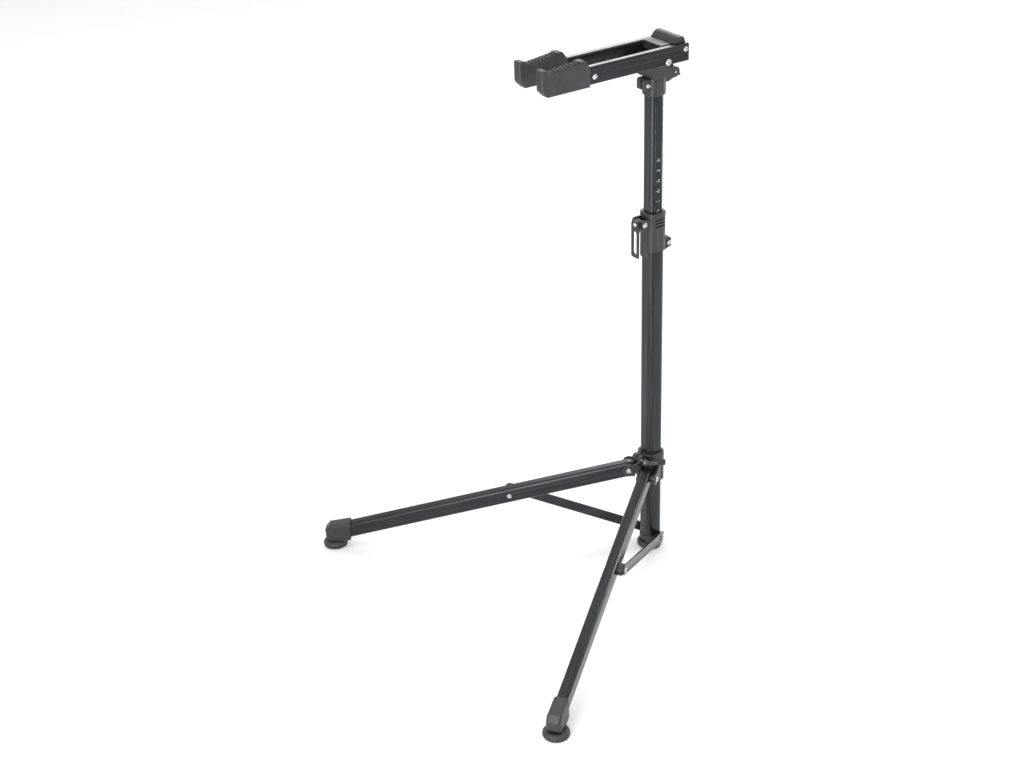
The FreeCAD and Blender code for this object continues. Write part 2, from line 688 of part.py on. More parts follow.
def make_leg_boot(name, side):
    """Plastic elbow that closes the tube's end and carries the foot pad."""
    body = new_body(f"leg_boot_{name}", leg_point(side, 0, 0, 0), leg_turn(side))
    half = d.legwidth / 2 + 3.2
    tan = math.tan(math.radians(d.legslope.value))
    end = d.footreach
    axis_z = (d.legpivotz - (end - d.legpivotr) * tan).value
    upper = d.legheight.value / 2 + 4.0
    grow(body, "XZ", -half, half, outline_of(
        [(end - 42, axis_z + 42 * tan - upper), (end - 24, 17), (end + 16, 17),
         (end + 22, 28), (end + 23.5, axis_z + upper - 12), (end + 12, axis_z + upper + 1),
         (end - 42, axis_z + 42 * tan + upper)]))
    soften(body, size(6.0), lambda e: abs(abs(middle(e).y) - half.value) < 1e-3
           and middle(e).x > end.value - 41 and middle(e).z > 22)
    # sloping socket that the leg tube fills
    spread = 0.02
    half_w, half_h = d.legwidth / 2 + spread, d.legheight / 2 + spread
    slope = math.radians(d.legslope.value)
    start = end - 60
    start_z = d.legpivotz - (start - d.legpivotr) * tan
    depth = leg_length() - TUBE_SHORT + 2 - (start - d.legpivotr).value / math.cos(slope)
    before = body.Shape.Volume
    sketch = draw(body, "YZ", start, [rounded(-half_w, half_w, -half_h, half_h, d.legcorner)])
    sketch.AttachmentOffset = Placement(Vector(0, start_z.value, start.value),
                                        Rotation(AXIS["X"], d.legslope.value))
    bind(sketch, "AttachmentOffset.Base.y", start_z)
    pocket = body.newObject("PartDesign::Pocket", f"{body.Name}_socket")
    pocket.Profile = sketch
    pocket.Reversed = True
    pocket.Length = depth
    doc.recompute()
    assert body.Shape.Volume < before - 1, "the boot's socket cut nothing"


def make_foot_pad(name, side):
    body = new_body(f"foot_pad_{name}", leg_point(side, d.footreach, 0, 0), leg_turn(side))
    turned(body, [(0, 0), (27, 0), (30, 2.5), (31.1, 7), (30.2, 11), (27, 14.5), (22, 17), (0, 17)])


def strut_reach():
    """Where the strut's bolt crosses the leg, along the leg from its pivot."""
    return (d.strutboltr.value - d.legpivotr.value) / math.cos(math.radians(d.legslope.value))


def make_strut_spacer(name, side):
    """Moulded stand-off between the leg and its strut."""
    reach = strut_reach()
    body = new_body(f"strut_spacer_{name}", leg_point(side, d.legpivotr, 0, d.legpivotz),
                    leg_turn(side, d.legslope.value))
    low, high = across(side, d.legwidth / 2, d.strutinner - 0.1)
    grow(body, "XZ", low, high, rounded(reach - 15, reach + 15, -11, 11, 9),
         circle(reach, 0, d.boltsix + d.clearance))


def make_strut(name, side):
    """Flat bar from the leg's bolt to the bottom bracket, with a shallow channel."""
    body = new_body(f"strut_{name}", leg_point(side, d.strutboltr, 0, strut_bolt_z()),
                    leg_turn(side, -strut_angle()))
    length = strut_length()
    low, high = across(side, d.strutinner, d.strutinner + d.strutthick)
    half = d.strutdepth / 2
    grow(body, "XZ", low, high, rounded(-length - half, half, -half, half, half - 0.01))
    soften(body, size(1.0), lambda e: abs(e.BoundBox.YLength) < 1e-3)
    face = high if side > 0 else low
    channel_low = face - 1.2 if side > 0 else face - 1
    cut(body, "XZ", channel_low, channel_low + 2.2,
        rounded(-length + 18, -18, -half + 4.5, half - 4.5, 3))
    cut(body, "XZ", size(-60), size(60), circle(0, 0, d.boltsix + d.clearance),
        circle(-length, 0, d.boltsix + d.clearance))


def strut_bolt_z():
    tan = math.tan(math.radians(d.legslope.value))
    return d.legpivotz.value - (d.strutboltr.value - d.legpivotr.value) * tan


def strut_angle():
    """Angle of the strut above the level, from the bottom bracket up to the leg."""
    rise = strut_bolt_z() - d.strutbasez.value
    return math.degrees(math.atan2(rise, d.strutboltr.value - d.strutbaser.value))


def strut_length():
    rise = strut_bolt_z() - d.strutbasez.value
    return math.hypot(rise, d.strutboltr.value - d.strutbaser.value)


def outward(side):
    """Carries a fastener's +Z to the leg's outer side."""
    return leg_turn(side).multiply(TO_MINUS_Y if side < 0 else TO_Y)


def inward(side):
    return leg_turn(side).multiply(TO_Y if side < 0 else TO_MINUS_Y)


# ---------------------------------------------------------------- leg collar

def make_leg_collar():
    """Sliding collar with an inner and an outer ear for each leg and a split front."""
    body = new_body("leg_collar")
    half = d.collarwidth / 2
    grow(body, "XY", d.collarbottom, d.collartop, squared(d.collarwidth, d.columncorner + 6))
    soften(body, size(2.0), lambda e: level(e, "Z", d.collartop))
    pivot_r, pivot_z, ear = d.legpivotr, d.legpivotz, d.legearradius
    for side in SIDES.values():
        for start, offset in ((12, -d.earflank - d.legear), (4, d.outerear)):
            low, high = across(side, offset, offset + d.legear)
            grow(body, "XZ", low, high, plan=leg_plan(side), *[outline_of(
                [(start, pivot_z - ear - 5), (pivot_r - 8, pivot_z - ear + 1),
                 (pivot_r - 8, pivot_z + ear - 1), (start, pivot_z + ear + 14)])])
            grow(body, "XZ", low, high, circle(pivot_r, pivot_z, ear), plan=leg_plan(side))
    # split front with the skewer's two lugs
    for low in (2, -14):
        grow(body, "YZ", size(low), size(low + 12),
             rounded(-half - 17, -half + 6, d.skewerz - 10, d.skewerz + 10, 7))
    cut(body, "XY", d.skewerz - 30, d.collartop + 5, rectangle(-2, 2, -half - 30, -5))
    cut(body, "YZ", size(-30), size(30), circle(d.skewery, d.skewerz, d.boltfive + d.clearance))
    for side in SIDES.values():
        low, high = across(side, -40, 60)
        cut(body, "XZ", low, high, circle(pivot_r, pivot_z, d.bolteight + d.clearance),
            plan=leg_plan(side))
    space = d.columnwidth + (d.runfit + d.linerwall) * 2
    cut(body, "XY", d.collarbottom - 1, d.collartop + 1,
        squared(space, d.columncorner + d.runfit + d.linerwall))


def make_collar_liner():
    """Slippery sleeve between the collar and the column."""
    body = new_body("collar_liner")
    inner = d.columnwidth + d.runfit * 2
    corner = d.columncorner + d.runfit
    grow(body, "XY", d.collarbottom - 2.5, d.collartop + 1.5,
         squared(inner + d.linerwall * 2 - 0.02, corner + d.linerwall - 0.01),
         squared(inner, corner))


def make_leg_pivots():
    """Bolts, nuts and spacers of the two leg pivots. Both heads face +X."""
    bolts, nuts, spacers = [], [], []
    inner_face = -d.earflank - d.legear
    outer_face = d.outerear + d.legear
    grip = d.outerear + d.earflank + d.legear * 2
    for name, side in SIDES.items():
        head_off, head_turn = (outer_face, outward(side)) if side > 0 else (inner_face, inward(side))
        nut_off, nut_turn = (inner_face, inward(side)) if side > 0 else (outer_face, outward(side))
        head_at = leg_point(side, d.legpivotr, head_off, d.legpivotz)
        nut_at = leg_point(side, d.legpivotr, nut_off, d.legpivotz)
        bolts.append(bolt(f"leg_pivot_bolt_{name}", head_at, head_turn, grip + 6, d.bolteight,
                          7.2, 3.6, node=False))
        nuts.append(nut(f"leg_pivot_nut_{name}", nut_at, nut_turn, d.bolteight, 7.4, 5.0, node=False))
        spacer_at = leg_point(side, d.legpivotr, d.legwidth / 2 + 0.3, d.legpivotz)
        thick = d.outerear - d.legwidth / 2 - 0.3
        spacers.append(washer(f"leg_pivot_spacer_{name}", spacer_at, outward(side),
                              d.bolteight + d.clearance, 10.0, thick, node=False))
    group("leg_pivot_bolts", bolts)
    group("leg_pivot_nuts", nuts)
    group("leg_pivot_spacers", spacers)


def make_strut_fasteners():
    """Bolt and nut at each strut's upper end, and the rivet in its lower end."""
    outer_face = d.strutinner + d.strutthick
    inner_face = -d.legwidth / 2
    grip = outer_face + d.legwidth / 2
    for name, side in SIDES.items():
        head_off, head_turn = (outer_face, outward(side)) if side > 0 else (inner_face, inward(side))
        nut_off, nut_turn = (inner_face, inward(side)) if side > 0 else (outer_face, outward(side))
        bolt(f"strut_bolt_{name}", leg_point(side, d.strutboltr, head_off, strut_bolt_z()),
             head_turn, grip + 5, d.boltsix, 6.2, 3.2)
        nut(f"strut_nut_{name}", leg_point(side, d.strutboltr, nut_off, strut_bolt_z()),
            nut_turn, d.boltsix, 6.2, 4.2)
        bolt(f"strut_rivet_{name}", leg_point(side, d.strutbaser, outer_face, d.strutbasez),
             outward(side), d.strutthick, d.boltsix + d.clearance, 6.4, 2.6)


# Half height of the quick-release lever's hub, and the radius of its pin.
QR_HUB = 8.0
QR_PIN = 2.0


def make_skewer():
    """Quick-release skewer: a rod whose eye sits in the lever's fork."""
    body = new_body("qr_skewer")
    rod, eye, pin_hole = d.boltfive, 5.2, QR_PIN + d.clearance
    grow(body, "YZ", size(-22), d.camx - 4, circle(d.skewery, d.skewerz, rod))
    grow(body, "XY", d.skewerz - 2.3, d.skewerz + 2.3, circle(d.camx, d.skewery, eye))
    cut(body, "XY", d.skewerz - 8, d.skewerz + 8, circle(d.camx, d.skewery, pin_hole))
    nut("qr_nut", (-14, d.skewery, d.skewerz), TO_MINUS_X, rod, 6.6, 6.0)
    washer("qr_washer", (14, d.skewery, d.skewerz), TO_X, rod + d.clearance, 6.5, 2.4)


def make_qr_lever():
    """Cam lever, drawn along its own +Y from the pin, that swings out about that pin."""
    at, turn = (d.camx, d.skewery, d.skewerz), Rotation(AXIS["Z"], -d.leversplay.value)
    body = new_body("qr_lever", at, turn)
    grow(body, "XY", size(-QR_HUB), size(QR_HUB), circle(0, 0, 7))
    half, reach = 6.0, 38
    grow(body, "XY", size(-half), size(half), outline_of(
        [(1, -6), (6, -4.5), (9.5, 8), (9.5, reach), (4.5, reach), (4.5, 11), (1.5, 6.8)]))
    soften(body, size(1.4), lambda e: level(e, "Z", half) and e.Length > 20)
    cut(body, "XY", size(-2.6), size(2.6), circle(0, 0, 9.0))
    cut(body, "XY", size(-QR_HUB - 1), size(QR_HUB + 1), circle(0, 0, QR_PIN))
    pin = new_body("qr_pin", at, turn)
    grow(pin, "XY", size(-QR_HUB - 0.6), size(QR_HUB + 0.6), circle(0, 0, QR_PIN))
    tip = new_body("qr_lever_tip", at, turn)
    grow(tip, "XZ", size(reach - 5), size(reach + 12), rounded(2.6, 11.4, -8, 8, 4.0))
    soften(tip, size(2.6), lambda e: level(e, "Y", reach + 12))
    cut(tip, "XZ", size(reach - 9), size(reach), rectangle(4.48, 9.52, -half - 0.02, half + 0.02))


# ---------------------------------------------------------------- other fasteners

def make_clamp_fasteners():
    ear_face = d.earinner + d.earthick
    bolt("lever_pin", (ear_face, d.leverpiny, d.leverpinz), TO_X, ear_face * 2 + 4.5, d.boltsix,
         6.2, 3.0)
    nut("lever_nut", (-ear_face, d.leverpiny, d.leverpinz), TO_MINUS_X, d.boltsix, 5.8, 4.0)
    bolt("lever_screw", (0, d.leverpiny - 15, d.leverpinz), TO_MINUS_Y, 4.8, d.boltsix, 5.6, 2.6)
    boss_y = d.clampwidth / 2 + CLAMP_BOLT_Y
    bolt("clamp_bolt", (13, boss_y, d.clampboltz), TO_X, 30.5, d.boltsix, 5.6, 3.0)
    nut("clamp_nut", (-13, boss_y, d.clampboltz), TO_MINUS_X, d.boltsix, 5.8, 4.0)


def make_head_fasteners():
    bolt("head_pinch_bolt", (16, d.pinchy, d.pinchz), TO_X, 36.5, d.boltsix, 5.8, 3.2)
    nut("head_pinch_nut", (-16, d.pinchy, d.pinchz), TO_MINUS_X, d.boltsix, 6.0, 4.2)
    pin = new_body("latch_pin")
    grow(pin, "YZ", size(-16), size(16), circle(d.latchpiny, d.latchpinz, d.boltfive))


def make_arm_fasteners():
    face = d.armouter
    bolt("arm_pivot_bolt", (face, 0, d.pivotz), TO_X, face * 2 + 6, d.pivotradius, 7.6, 4.2)
    nut("arm_pivot_nut", (-face, 0, d.pivotz), TO_MINUS_X, d.pivotradius, 7.6, 5.4)
    gap = d.arminner - d.headhalf - 0.1
    washers = [washer(f"arm_washer_{name}", ((d.headhalf + 0.05) * side, 0, d.pivotz),
                      TO_X if side > 0 else TO_MINUS_X, d.pivotradius + d.clearance, 11, gap,
                      node=False)
               for name, side in SIDES.items()]
    group("arm_pivot_washers", washers)
    rear = (d.armboltrear, d.armboltrearz)
    bolt("arm_rear_bolt", (face, *rear), TO_X, face * 2 + 5, d.boltsix, 6.2, 3.4)
    nut("arm_rear_nut", (-face, *rear), TO_MINUS_X, d.boltsix, 6.2, 4.2)
    fronts = []
    for name, side in SIDES.items():
        fronts.append(bolt(f"arm_front_bolt_{name}", (face * side, d.armboltfront, d.armboltfrontz),
                           TO_X if side > 0 else TO_MINUS_X, 20.5, d.boltsix, 6.2, 3.4, node=False))
    group("arm_front_bolts", fronts)


make_column_tube()
make_column_foot()
make_bottom_bracket()
make_bracket_screws()
make_clamp_body()
make_clamp_bushing()
make_brake_shoe()
make_clamp_lever()
make_post_tube()
make_post_glide()
make_head_casting()
make_arm_latch()
for side in (1, -1):
    make_arm(side)
    make_arm_pad(side)
make_rear_block()
make_arm_caps()
for name, side in SIDES.items():
    make_leg_tube(name, side)
    make_leg_boot(name, side)
    make_foot_pad(name, side)
    make_strut_spacer(name, side)
    make_strut(name, side)
make_leg_collar()
make_collar_liner()
make_leg_pivots()
make_strut_fasteners()
make_skewer()
make_qr_lever()
make_clamp_fasteners()
make_head_fasteners()
make_arm_fasteners()

doc.recompute()
for item in doc.Objects:
    state = [word for word in item.State if word in ("Invalid", "Error")]
    assert not state, f"{item.Label} is {state}"
os.makedirs("parts", exist_ok=True)
for node in nodes:
    shape = node.Shape
    assert not shape.isNull() and shape.isValid(), f"{node.Label} has a bad shape"
    shape.exportStep(f"parts/{node.Label}.step")
    box = shape.BoundBox
    print(f"{node.Label:24s} {shape.Volume / 1000:8.1f} cm3  solids {len(shape.Solids)}  "
          f"x {box.XMin:7.1f} {box.XMax:7.1f}  y {box.YMin:7.1f} {box.YMax:7.1f}  "
          f"z {box.ZMin:7.1f} {box.ZMax:7.1f}")
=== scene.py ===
import json
import math

import bmesh
import bpy
from mathutils import Matrix, Vector


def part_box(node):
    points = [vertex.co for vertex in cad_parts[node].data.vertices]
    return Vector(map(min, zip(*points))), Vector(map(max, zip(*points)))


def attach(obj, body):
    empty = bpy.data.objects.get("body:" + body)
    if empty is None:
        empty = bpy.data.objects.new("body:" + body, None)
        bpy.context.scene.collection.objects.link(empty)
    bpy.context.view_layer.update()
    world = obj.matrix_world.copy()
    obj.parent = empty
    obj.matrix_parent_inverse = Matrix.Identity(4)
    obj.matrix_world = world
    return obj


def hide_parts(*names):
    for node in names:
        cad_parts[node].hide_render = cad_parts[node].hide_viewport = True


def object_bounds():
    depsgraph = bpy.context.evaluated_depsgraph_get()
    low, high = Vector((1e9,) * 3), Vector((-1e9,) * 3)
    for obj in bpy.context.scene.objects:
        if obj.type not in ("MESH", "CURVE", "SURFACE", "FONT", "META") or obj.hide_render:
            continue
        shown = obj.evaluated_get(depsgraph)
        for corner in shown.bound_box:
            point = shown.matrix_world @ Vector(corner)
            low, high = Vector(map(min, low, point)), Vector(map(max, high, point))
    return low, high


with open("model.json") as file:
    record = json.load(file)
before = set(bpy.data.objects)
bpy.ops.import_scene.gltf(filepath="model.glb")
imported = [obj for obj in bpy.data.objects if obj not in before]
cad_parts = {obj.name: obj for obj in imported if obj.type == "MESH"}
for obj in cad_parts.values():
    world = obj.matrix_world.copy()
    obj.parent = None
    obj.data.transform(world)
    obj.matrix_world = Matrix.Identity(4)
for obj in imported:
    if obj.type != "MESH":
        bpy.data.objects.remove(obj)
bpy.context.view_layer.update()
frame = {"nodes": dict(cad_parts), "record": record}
nodes = frame["nodes"]
scene = bpy.context.scene

MM = 0.001
LEG_PLAN = math.radians(36.87)       # each leg's angle from -Y, seen from above
LEG_SLOPE = math.radians(14.0)       # each leg's fall towards its foot


# ------------------------------------------------------------------ materials

def linear(*rgb):
    """An 8-bit display colour as the linear colour that the shader takes."""
    channels = [c / 255 for c in rgb]
    return [c / 12.92 if c <= 0.04045 else ((c + 0.055) / 1.055) ** 2.4 for c in channels] + [1.0]


class Graph:
    """Short calls that build one material's nodes."""

    def __init__(self, name):
        self.material = bpy.data.materials.new(name)
        self.material.use_nodes = True
        self.tree = self.material.node_tree
        self.shader = self.tree.nodes["Principled BSDF"]

    def node(self, kind, **values):
        made = self.tree.nodes.new(kind)
        for key, value in values.items():
            setattr(made, key, value)
        return made

    def join(self, source, target):
        self.tree.links.new(source, target)

    def noise(self, vector, scale, detail=3.0, roughness=0.55):
        made = self.node("ShaderNodeTexNoise")
        made.inputs["Scale"].default_value = scale
        made.inputs["Detail"].default_value = detail
        made.inputs["Roughness"].default_value = roughness
        self.join(vector, made.inputs["Vector"])
        return made.outputs["Fac"]

    def ramp(self, value, low, high, start=0.0, end=1.0):
        """Maps low..high of a value to start..end, and holds it there outside."""
        made = self.node("ShaderNodeMapRange", clamp=True)
        self.join(value, made.inputs["Value"])
        for key, number in zip(("From Min", "From Max", "To Min", "To Max"),
                               (low, high, start, end)):
            made.inputs[key].default_value = number
        return made.outputs["Result"]

    def maths(self, operation, a, b):
        made = self.node("ShaderNodeMath", operation=operation)
        for socket, value in zip(made.inputs, (a, b)):
            if isinstance(value, (int, float)):
                socket.default_value = value
            else:
                self.join(value, socket)
        return made.outputs[0]

    def mix(self, factor, a, b):
        made = self.node("ShaderNodeMix", data_type="RGBA")
        self.join(factor, made.inputs[0])
        for socket, value in zip((made.inputs[6], made.inputs[7]), (a, b)):
            if isinstance(value, list):
                socket.default_value = value
            else:
                self.join(value, socket)
        return made.outputs[2]

    def place(self):
        return self.node("ShaderNodeTexCoord").outputs["Object"]

    def stretched(self, vector, direction, along, around):
        """Coordinates scaled by along in the direction and by around across it."""
        turned = self.node("ShaderNodeMapping")
        turn = Vector(direction).to_track_quat("X", "Z").inverted()
        turned.inputs["Rotation"].default_value = turn.to_euler()
        scaled = self.node("ShaderNodeMapping")
        scaled.inputs["Scale"].default_value = (along, around, around)
        self.join(vector, turned.inputs["Vector"])
        self.join(turned.outputs[0], scaled.inputs["Vector"])
        return scaled.outputs[0]

    def edges(self, radius, sharp):
        """(rounded normal, mask that is 1 on sharp edges)."""
        bevel = self.node("ShaderNodeBevel", samples=6)
        bevel.inputs["Radius"].default_value = radius
        surface = self.node("ShaderNodeNewGeometry")
        product = self.node("ShaderNodeVectorMath", operation="DOT_PRODUCT")
        self.join(bevel.outputs[0], product.inputs[0])
        self.join(surface.outputs["Normal"], product.inputs[1])
        return bevel.outputs[0], self.ramp(product.outputs["Value"], 0.995, sharp)

    def bump(self, height, distance, normal):
        made = self.node("ShaderNodeBump")
        made.inputs["Distance"].default_value = distance
        self.join(height, made.inputs["Height"])
        self.join(normal, made.inputs["Normal"])
        return made.outputs[0]

    def finish(self, colour, roughness, normal, metallic=0.0, specular=0.5):
        for value, key in ((colour, "Base Color"), (roughness, "Roughness"), (normal, "Normal")):
            self.join(value, self.shader.inputs[key])
        self.shader.inputs["Metallic"].default_value = metallic
        self.shader.inputs["Specular IOR Level"].default_value = specular
        return self.material


CHARCOAL, CHARCOAL_LIGHT = linear(30, 32, 34), linear(46, 49, 51)
SCRATCH_RUN = (0.6, 0.35, 0.72)      # the way that the handling scratches run
DRAW_LINE_DEPTH, GRAIN_DEPTH = 0.00003, 0.00002


def anodised(name, direction):
    """Satin dark anodised aluminium tube, with draw lines along it and rubbed edges."""
    g = Graph(name)
    place = g.place()
    lines = g.noise(g.stretched(place, direction, 6.0, 900.0), 1.0, 4.0, 0.7)
    broad = g.noise(g.stretched(place, direction, 3.0, 30.0), 1.0, 3.0)
    grain = g.noise(place, 2600.0, 2.0)
    smudge = g.noise(place, 22.0, 4.0, 0.6)
    rounded, edge = g.edges(0.0011, 0.86)
    shade = g.mix(g.ramp(broad, 0.35, 0.65), CHARCOAL, CHARCOAL_LIGHT)
    shade = g.mix(g.ramp(lines, 0.52, 0.78, 0.0, 0.35), shade, linear(128, 130, 133))
    scratches = g.ramp(g.noise(g.stretched(place, SCRATCH_RUN, 26.0, 1500.0), 1.0, 2.0),
                       0.70, 0.80, 0.0, 0.22)
    shade = g.mix(scratches, shade, linear(150, 152, 155))
    worn = g.maths("MULTIPLY", edge, g.ramp(g.noise(place, 160.0, 4.0), 0.42, 0.66, 0.05, 0.7))
    shade = g.mix(worn, shade, linear(158, 160, 162))
    rough = g.maths("ADD", g.ramp(smudge, 0.3, 0.7, 0.17, 0.27),
                    g.ramp(lines, 0.3, 0.7, -0.03, 0.04))
    normal = g.bump(lines, DRAW_LINE_DEPTH, rounded)
    normal = g.bump(grain, GRAIN_DEPTH, normal)
    return g.finish(shade, rough, normal, metallic=0.6)


MOULDED_EDGE = 0.0009                # radius that a moulded edge is shaded with
PAINTED_SHADE_REACH = 0.006                  # how far off a face still casts the painted shade on another


def moulded(name, dark, light, grain_size, depth, roughness,
            wear=(112, 114, 116), wear_amount=0.5, specular=0.5):
    """Moulded or cast stock with a fine even texture, paler rubbed edges, and painted shade
    darkening its corners and grooves.
    """
    g = Graph(name)
    place = g.place()
    cells = g.node("ShaderNodeTexVoronoi", feature="SMOOTH_F1")
    cells.inputs["Scale"].default_value = 1 / grain_size
    g.join(place, cells.inputs["Vector"])
    fine = g.noise(place, 1.6 / grain_size, 4.0, 0.65)
    broad = g.noise(place, 28.0, 4.0)
    rounded, mask = g.edges(MOULDED_EDGE, 0.84)
    shade = g.mix(g.ramp(broad, 0.32, 0.68), dark, light)
    shade = g.mix(g.ramp(fine, 0.5, 0.8, 0.0, 0.3), shade, light)
    worn = g.maths("MULTIPLY", mask, g.ramp(g.noise(place, 210.0, 4.0), 0.4, 0.66, 0.1, 1.0))
    worn = g.maths("MULTIPLY", worn, wear_amount)
    shade = g.mix(worn, shade, linear(*wear))
    # painted shade: ambient occlusion darkens corners, grooves and recesses towards near-black
    painted_shade = g.node("ShaderNodeAmbientOcclusion", samples=8)
    painted_shade.inputs["Distance"].default_value = PAINTED_SHADE_REACH
    shade = g.mix(g.ramp(painted_shade.outputs["AO"], 0.5, 0.98, 0.97, 0.0), shade, linear(8, 8, 9))
    rough = g.maths("ADD", g.ramp(broad, 0.3, 0.7, *roughness),
                    g.ramp(fine, 0.3, 0.7, -0.04, 0.04))
    normal = g.bump(cells.outputs["Distance"], depth, rounded)
    normal = g.bump(fine, depth * 0.6, normal)
    return g.finish(shade, rough, normal, specular=specular)


PLATED_EDGE = 0.0005                 # radius that a plated edge is shaded with
PLATE_DEPTH = 0.000012


def plated(name, dark, light, roughness, grain):
    """Zinc plate or black chrome with a fine grain, dull spots and brighter edges."""
    g = Graph(name)
    place = g.place()
    fine = g.noise(place, grain, 3.0, 0.7)
    spots = g.noise(place, 260.0, 5.0, 0.6)
    rounded, edge = g.edges(PLATED_EDGE, 0.85)
    shade = g.mix(g.ramp(spots, 0.35, 0.7), light, dark)
    shade = g.mix(g.maths("MULTIPLY", edge, 0.5), shade, linear(232, 233, 235))
    rough = g.maths("ADD", g.ramp(spots, 0.35, 0.7, *roughness),
                    g.ramp(fine, 0.3, 0.7, -0.03, 0.04))
    normal = g.bump(fine, PLATE_DEPTH, rounded)
    return g.finish(shade, rough, normal, metallic=1.0)


def leg_direction(side):
    """A unit vector from a leg's pivot towards its foot, with side -1 for left and 1 for right."""
    return (math.sin(LEG_PLAN) * side * math.cos(LEG_SLOPE),
            -math.cos(LEG_PLAN) * math.cos(LEG_SLOPE), -math.sin(LEG_SLOPE))


materials = {
    "tube_up": anodised("satin_tube_upright", (0, 0, 1)),
    "tube_arm": anodised("satin_tube_arms", (0, 1, 0)),
    "tube_leg_left": anodised("satin_tube_leg_left", leg_direction(-1)),
    "tube_leg_right": anodised("satin_tube_leg_right", leg_direction(1)),
    "casting": moulded("textured_casting", linear(34, 35, 36), linear(48, 49, 50),
                       grain_size=0.0007, depth=0.00006, roughness=(0.42, 0.55)),
    "plastic": moulded("moulded_nylon_black", linear(27, 28, 29), linear(39, 40, 41),
                       grain_size=0.0005, depth=0.00003, roughness=(0.40, 0.52),
                       wear_amount=0.35),
    "rubber": moulded("moulded_rubber", linear(39, 41, 43), linear(53, 56, 58),
                      grain_size=0.0006, depth=0.00005, roughness=(0.48, 0.62),
                      wear=(104, 108, 110), wear_amount=0.3, specular=0.45),
    "nylon": moulded("machined_nylon", linear(30, 30, 31), linear(42, 42, 43),
                     grain_size=0.0008, depth=0.00002, roughness=(0.36, 0.48),
                     wear_amount=0.25),
    "steel": plated("zinc_plated_steel", linear(168, 170, 173), linear(214, 216, 219),
                    roughness=(0.20, 0.36), grain=2400.0),
    "lever_steel": plated("black_chrome_lever", linear(62, 64, 66), linear(92, 94, 96),
                          roughness=(0.10, 0.20), grain=700.0),
    "marking": moulded("printed_scale_ink", linear(206, 208, 210), linear(236, 237, 238),
                       grain_size=0.0003, depth=0.00001, roughness=(0.45, 0.6),
                       wear=(120, 122, 124), wear_amount=0.3),
}
# Pieces whose draw lines don't run upright; a strut shares its leg's.
BY_NODE = {
    "arm_left": "tube_arm", "arm_right": "tube_arm",
    "leg_tube_left": "tube_leg_left", "leg_tube_right": "tube_leg_right",
    "strut_left": "tube_leg_left", "strut_right": "tube_leg_right",
}
SLOT_OF = {piece["node"]: piece["material_slot"] for piece in frame["record"]["subparts"]}


def paint(obj, name):
    obj.data.materials.clear()
    obj.data.materials.append(materials[name])


for name, obj in nodes.items():
    slot = SLOT_OF[name]
    paint(obj, BY_NODE.get(name, "tube_up" if slot == "tube" else slot))


# ------------------------------------------------------------------ mesh helpers

def smooth_points(keys, count):
    """A smooth line through the key points, as count points evenly spaced in the first value."""
    firsts = [k[0] for k in keys]

    def slope(i):
        if i in (0, len(keys) - 1):
            a, b = (0, 1) if i == 0 else (i - 1, i)
        else:
            a, b = i - 1, i + 1
        return (keys[b][1] - keys[a][1]) / (firsts[b] - firsts[a])

    made = []
    for step in range(count):
        x = firsts[0] + (firsts[-1] - firsts[0]) * step / (count - 1)
        i = max(0, min(len(keys) - 2, sum(f <= x for f in firsts) - 1))
        width = firsts[i + 1] - firsts[i]
        t = (x - firsts[i]) / width
        made.append((x, (2 * t ** 3 - 3 * t ** 2 + 1) * keys[i][1]
                     + (t ** 3 - 2 * t ** 2 + t) * width * slope(i)
                     + (3 * t ** 2 - 2 * t ** 3) * keys[i + 1][1]
                     + (t ** 3 - t ** 2) * width * slope(i + 1)))
    return made


LEAST_FLAT = 0.01                    # half of the least flat left between two rounded corners


def section(low_x, high_x, low_z, high_z, radius, steps=6):
    """A rounded rectangle as a ring of (x, z) points, counter-clockwise from the lower right."""
    radius = min(radius, (high_x - low_x) / 2 - LEAST_FLAT, (high_z - low_z) / 2 - LEAST_FLAT)
    left, right = low_x + radius, high_x - radius
    below, above = low_z + radius, high_z - radius
    ring = []
    for k, (cx, cz) in enumerate(((right, below), (right, above), (left, above), (left, below))):
        for s in range(steps + 1):
            angle = math.radians(-90 + 90 * k + 90 * s / steps)
            ring.append((cx + radius * math.cos(angle), cz + radius * math.sin(angle)))
    return ring


def loft(name, rings):
    """A closed skin over rings of points, in millimetres, that all have the same length."""
    mesh = bpy.data.meshes.new(name)
    build = bmesh.new()
    rows = [[build.verts.new(Vector(p) * MM) for p in ring] for ring in rings]
    count = len(rows[0])
    for a, b in zip(rows, rows[1:]):
        for k in range(count):
            build.faces.new((a[k], a[(k + 1) % count], b[(k + 1) % count], b[k]))
    build.faces.new(list(reversed(rows[0])))
    build.faces.new(rows[-1])
    bmesh.ops.recalc_face_normals(build, faces=build.faces[:])
    build.to_mesh(mesh)
    build.free()
    for face in mesh.polygons:
        face.use_smooth = True
    obj = bpy.data.objects.new(name, mesh)
    scene.collection.objects.link(obj)
    return obj


def sharpen(obj, degrees):
    """Splits the shading where faces meet at more than this angle."""
    mesh = obj.data
    build = bmesh.new()
    build.from_mesh(mesh)
    for edge in build.edges:
        if len(edge.link_faces) == 2 and edge.calc_face_angle(0) > math.radians(degrees):
            edge.smooth = False
    build.to_mesh(mesh)
    build.free()


def add(obj, body, material, slot, *replaced):
    """Paints a piece and has it ride a body, in the place of any nodes that it replaces."""
    paint(obj, material)
    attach(obj, body)
    if replaced:
        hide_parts(*replaced)
    return obj


# ------------------------------------------------------------------ arm pads

